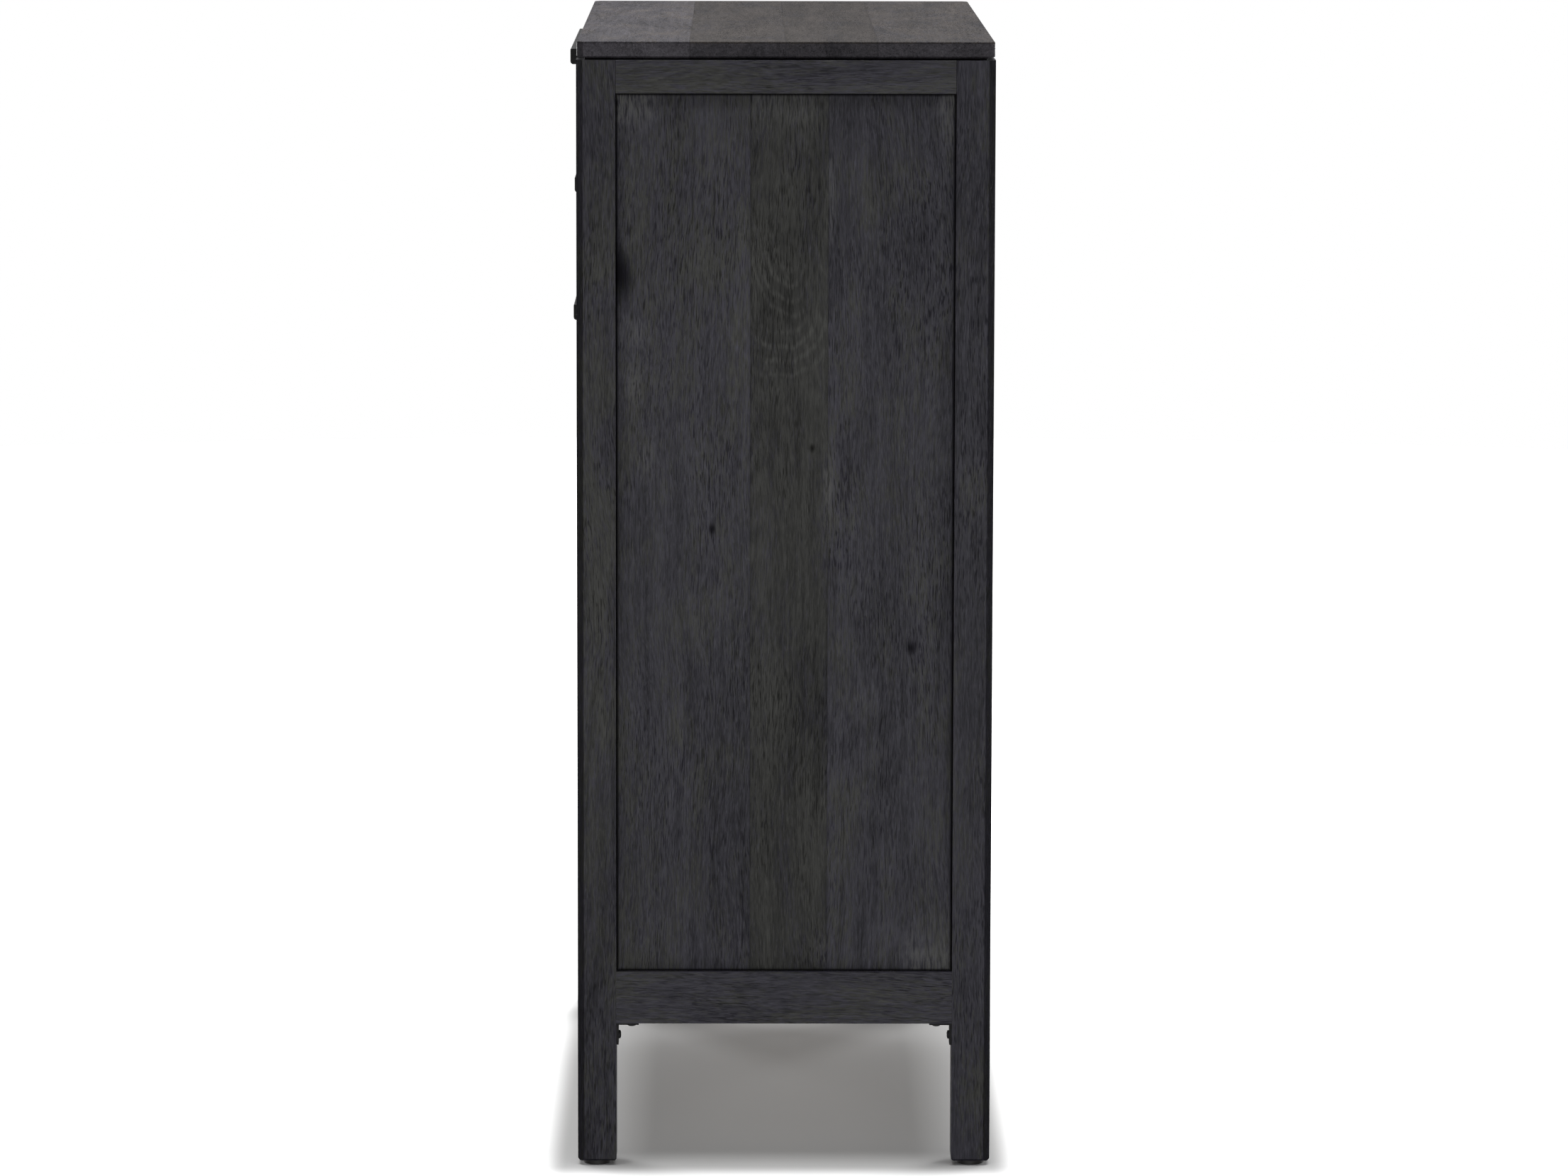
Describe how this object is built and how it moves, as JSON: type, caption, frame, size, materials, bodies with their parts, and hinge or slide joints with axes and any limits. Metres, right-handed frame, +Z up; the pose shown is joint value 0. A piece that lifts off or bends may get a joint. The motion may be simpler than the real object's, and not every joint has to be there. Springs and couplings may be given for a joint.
{
  "type": "apothecary cabinet",
  "caption": "Tall wooden post-and-rail storage cabinet on legs, with wide divided drawers over a two-door cupboard and long dark metal pulls.",
  "frame": {"origin": "on the floor under the middle of the footprint, pulls included", "axes": "+Z up, the front with drawers and doors faces -Y, +X to the right when facing the front"},
  "size_m": [0.818, 0.4166, 1.107],
  "materials": {
    "charcoal_wood": "dark charcoal stain with open grain, satin, worn lighter at panel corners",
    "inner_wood": "clear-sealed plain wood, satin",
    "black_iron": "black semi-gloss paint over iron",
    "aged_brass": "dark aged brass",
    "pin_steel": "blackened",
    "strike_steel": "zinc plated",
    "catch_plastic": "brown moulded body",
    "glide_plastic": "dark hard plastic"
  },
  "bodies": {
    "case": {"top_board": "charcoal_wood", "front_left_post": "charcoal_wood", "front_right_post": "charcoal_wood", "rear_left_post": "charcoal_wood", "rear_right_post": "charcoal_wood", "left_top_rail": "charcoal_wood", "right_top_rail": "charcoal_wood", "left_bottom_rail": "charcoal_wood", "right_bottom_rail": "charcoal_wood", "left_side_panel": "charcoal_wood", "right_side_panel": "charcoal_wood", "back_top_rail": "charcoal_wood", "back_bottom_rail": "charcoal_wood", "back_panel": "charcoal_wood", "front_top_rail": "charcoal_wood", "upper_drawer_rail": "charcoal_wood", "lower_drawer_rail": "charcoal_wood", "front_bottom_rail": "charcoal_wood", "drawer_runners": "inner_wood", "cupboard_ceiling": "inner_wood", "cupboard_floor": "inner_wood", "cupboard_shelf": "inner_wood", "shelf_cleats": "inner_wood", "corner_brackets": "black_iron", "bracket_screws": "black_iron", "foot_glides": "glide_plastic", "post_hinge_leaves": "black_iron", "hinge_pins": "pin_steel", "magnetic_catches": "catch_plastic"},
    "top_drawer": {"top_drawer_front": "charcoal_wood", "top_drawer_walls": "inner_wood", "top_drawer_bottom": "inner_wood", "top_drawer_dividers": "inner_wood", "top_drawer_pull": "black_iron", "top_drawer_card_frames": "aged_brass"},
    "middle_drawer": {"middle_drawer_front": "charcoal_wood", "middle_drawer_walls": "inner_wood", "middle_drawer_bottom": "inner_wood", "middle_drawer_dividers": "inner_wood", "middle_drawer_pull": "black_iron", "middle_drawer_card_frames": "aged_brass"},
    "bottom_drawer": {"bottom_drawer_front": "charcoal_wood", "bottom_drawer_walls": "inner_wood", "bottom_drawer_bottom": "inner_wood", "bottom_drawer_dividers": "inner_wood", "bottom_drawer_pull": "black_iron", "bottom_drawer_card_frames": "aged_brass"},
    "left_door": {"left_door_stiles": "charcoal_wood", "left_door_rails": "charcoal_wood", "left_door_panel": "charcoal_wood", "left_door_pull": "black_iron", "left_door_hinge_leaves": "black_iron", "left_door_strike": "strike_steel"},
    "right_door": {"right_door_stiles": "charcoal_wood", "right_door_rails": "charcoal_wood", "right_door_panel": "charcoal_wood", "right_door_pull": "black_iron", "right_door_hinge_leaves": "black_iron", "right_door_strike": "strike_steel"}
  },
  "joints": [
    {"name": "top_drawer_slide", "type": "slide", "parent": "case", "child": "top_drawer", "axis": [0, -1, 0], "range_m": [-0.004, 0.256]},
    {"name": "middle_drawer_slide", "type": "slide", "parent": "case", "child": "middle_drawer", "axis": [0, -1, 0], "range_m": [0, 0.26]},
    {"name": "bottom_drawer_slide", "type": "slide", "parent": "case", "child": "bottom_drawer", "axis": [0, -1, 0], "range_m": [-0.0013, 0.2587]},
    {"name": "left_door_hinge", "type": "hinge", "parent": "case", "child": "left_door", "pos_m": [-0.3675, -0.1892, 0.4505], "axis": [0, 0, -1], "range_deg": [0, 105]},
    {"name": "right_door_hinge", "type": "hinge", "parent": "case", "child": "right_door", "pos_m": [0.3675, -0.1892, 0.4505], "axis": [0, 0, 1], "range_deg": [0, 105]}
  ]
}
